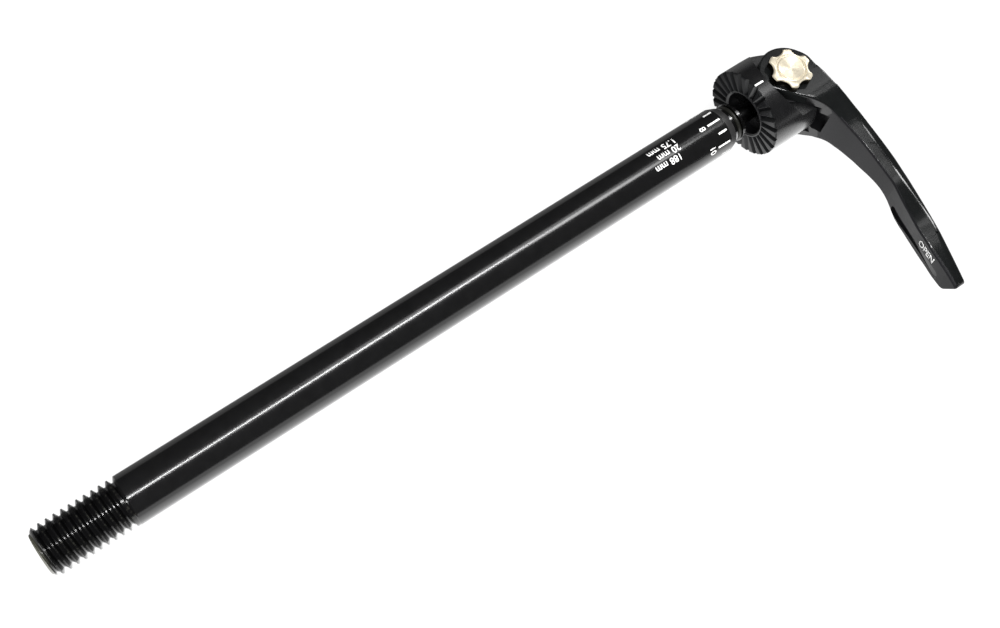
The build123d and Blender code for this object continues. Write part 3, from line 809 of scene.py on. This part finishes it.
# floor, light and camera
stageSizes = {"floor": 6.0, "white": 0.91, "glossGlowNear": 2.0, "glossGlowFar": 0.85, "glossGlowSide": 0.1, "paper": 0.12,
              "sideEdge": (0.02, -0.012), "nearEdge": (-0.06, -0.012), "skyGlow": 0.025}


def floorFinish():
    finish, place = newFinish("stage_white")
    camera = place.node("ShaderNodeLightPath", {}, {}, "Is Camera Ray")
    glossy = place.node("ShaderNodeLightPath", {}, {}, "Is Glossy Ray")
    clear = place.node("ShaderNodeLightPath", {}, {}, "Is Transmission Ray")
    side = place.along("Y").ramp(*stageSizes["sideEdge"])
    near = place.along("Y").ramp(*stageSizes["nearEdge"])
    seen = camera * stageSizes["white"] + clear
    # painted reflection: in reflections the floor glows brightest close to the object on the camera's side and
    # faintly on the far side
    pale = stageSizes["glossGlowFar"] + (stageSizes["glossGlowNear"] - stageSizes["glossGlowFar"]) * near
    mirrored = glossy * (stageSizes["glossGlowSide"] * (1 - side) + pale * side)
    glow = place.node("ShaderNodeEmission", {}, {"Color": (1, 1, 1, 1), "Strength": seen + mirrored})
    paper = (stageSizes["paper"],) * 3 + (1,)
    dull = place.node("ShaderNodeBsdfDiffuse", {}, {"Color": paper})
    both = place.node("ShaderNodeAddShader", {}, {0: glow, 1: dull})
    place.node("ShaderNodeOutputMaterial", {}, {"Surface": both})
    return finish


startClean()
bpy.ops.mesh.primitive_plane_add(size=stageSizes["floor"], location=(0, 0, cadLow.z))
floor = bpy.context.object
floor.name = "white_floor"
bpy.ops.object.transform_apply(location=True)
floor.data.materials.append(floorFinish())

world = bpy.data.worlds.new("studio")
bpy.context.scene.world = world
world.use_nodes = True
world.node_tree.nodes.clear()
sky = Wire(world.node_tree)
seenSky = sky.node("ShaderNodeLightPath", {}, {}, "Is Camera Ray")
skyStrength = seenSky * (1 - stageSizes["skyGlow"]) + stageSizes["skyGlow"]
skyGlow = sky.node("ShaderNodeBackground", {}, {"Color": (1, 1, 1, 1), "Strength": skyStrength})
sky.node("ShaderNodeOutputWorld", {}, {"Surface": skyGlow})

lamps = [
    {"name": "strip_light", "place": (0.05, -0.09, 1.0), "turn": 21.5, "size": (0.62, 0.05), "watts": 4.6},
    {"name": "strip_tail", "place": (0.46, 0.0, 1.0), "turn": 21.5, "size": (0.26, 0.2), "watts": 1.5},
    {"name": "soft_strip", "place": (0.30, 0.13, 1.0), "turn": 18, "size": (0.5, 0.24), "watts": 0.9},
    {"name": "star_card", "place": (0.74, 0.28, 1.0), "turn": 0, "size": (0.4, 0.1), "watts": 0.2},
    {"name": "lever_card", "place": (0.78, 0.06, 1.0), "turn": 20, "size": (0.4, 0.28), "watts": 0.22},
    {"name": "crease_light", "place": (1.07, 0.2, 0.73), "target": (0.02, -0.04, 0.006), "size": (0.3, 0.3),
     "watts": 3.6},
    {"name": "plain_fill", "place": (-0.85, -0.5, 1.15), "target": (-0.05, 0, 0), "size": (1.2, 1.2), "watts": 23.0,
     "inGloss": False},
    {"name": "word_fill", "place": (-0.5, -0.45, 0.45), "target": (0.01, -0.055, 0), "size": (0.3, 0.3), "watts": 6.0,
     "inGloss": False}]
for lamp in lamps:
    startClean()
    bpy.ops.object.light_add(type="AREA", location=lamp["place"])
    light = bpy.context.object
    light.name = lamp["name"]
    light.data.shape = "RECTANGLE"
    light.data.size, light.data.size_y = lamp["size"]
    light.data.energy = lamp["watts"]
    light.visible_glossy = lamp.get("inGloss", True)  # the fills light the colours and stay out of the gloss
    if "target" in lamp:
        light.rotation_euler = (Vector(lamp["place"]) - Vector(lamp["target"])).to_track_quat("Z", "Y").to_euler()
    else:
        light.rotation_euler = (0, 0, radians(lamp["turn"]))

cameraView = {"lens": 46.98, "place": (-0.17611, -0.08974, 0.27512), "right": (0.8012, -0.5904, 0.0973),
              "up": (0.5137, 0.7620, 0.3942), "back": (-0.3068, -0.2658, 0.9139)}
startClean()
bpy.ops.object.camera_add()
camera = bpy.context.object
camera.data.lens = cameraView["lens"]
camera.data.sensor_width = 36
camera.data.clip_start = 0.01
turned = Matrix((cameraView["right"], cameraView["up"], cameraView["back"])).transposed().to_4x4()
camera.matrix_world = Matrix.Translation(cameraView["place"]) @ turned
bpy.context.scene.camera = camera
bpy.context.scene.view_settings.view_transform = "Standard"
print("stage set")
